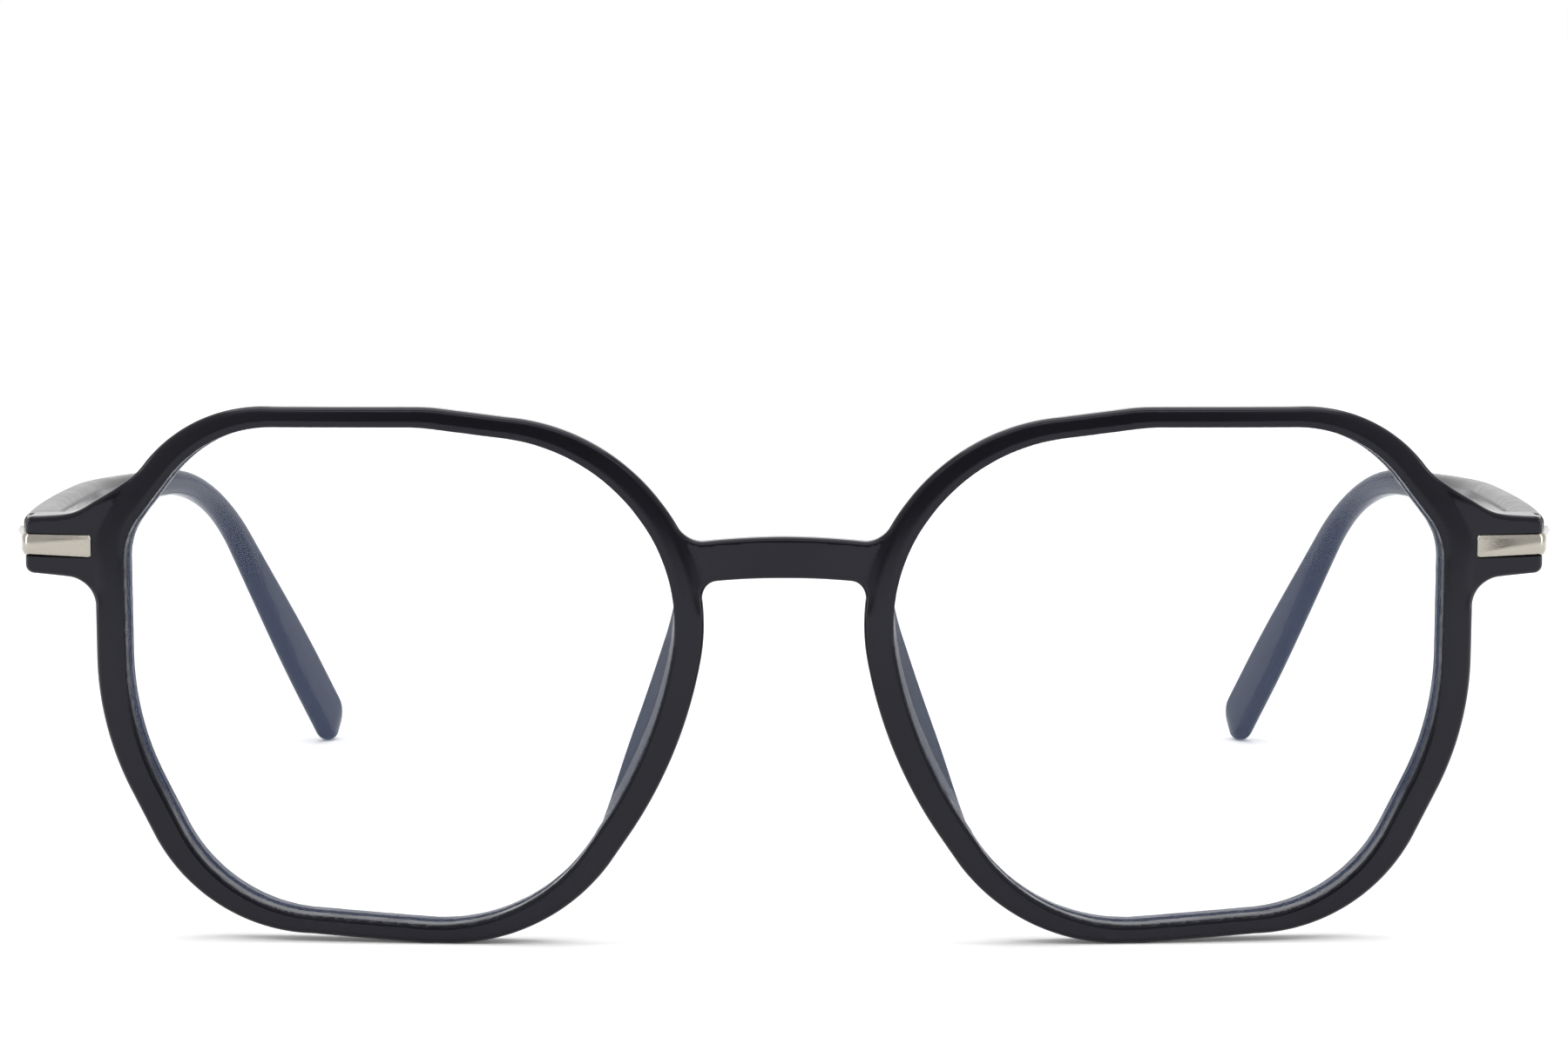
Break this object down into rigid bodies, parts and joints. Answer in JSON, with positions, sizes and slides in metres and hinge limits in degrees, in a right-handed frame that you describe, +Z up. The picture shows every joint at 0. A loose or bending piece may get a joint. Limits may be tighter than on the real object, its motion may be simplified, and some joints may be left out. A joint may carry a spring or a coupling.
{
  "type": "geometric eyeglasses",
  "caption": "Geometric eyeglasses: glossy rims with softened corners, clear lenses, moulded nose pads, inlaid metal end brackets and hinged temples.",
  "frame": {"origin": "on the surface that the glasses stand on, under the middle of their bounding box", "axes": "+X to the wearer's left, +Y back along the temples towards the ears, +Z up; the lenses face -Y"},
  "size_m": [0.1462, 0.1486, 0.0499],
  "materials": {
    "front_plastic": "gloss",
    "temple_plastic": "gloss",
    "lens": "clear, with a thin blue-violet coating",
    "nickel": "satin",
    "steel": "satin",
    "nylon": "matte"
  },
  "bodies": {
    "front": {"front_frame": "front_plastic", "lens_left": "lens", "lens_right": "lens", "end_bracket_left": "nickel", "end_bracket_right": "nickel", "bracket_screws_left": "steel", "bracket_screws_right": "steel", "hinge_screw_left": "steel", "hinge_screw_right": "steel", "hinge_washers_left": "nylon", "hinge_washers_right": "nylon"},
    "temple_left": {"temple_hinge_left": "nickel", "temple_core_left": "steel", "temple_left": "temple_plastic"},
    "temple_right": {"temple_hinge_right": "nickel", "temple_core_right": "steel", "temple_right": "temple_plastic"}
  },
  "joints": [
    {"name": "fold_left", "type": "hinge", "parent": "front", "child": "temple_left", "pos_m": [0.06955, -0.05725, 0.03635], "axis": [0, 0.0332, 0.9995], "range_deg": [0, 84]},
    {"name": "fold_right", "type": "hinge", "parent": "front", "child": "temple_right", "pos_m": [-0.06955, -0.05725, 0.03635], "axis": [0, -0.0332, -0.9995], "range_deg": [0, 78]}
  ]
}
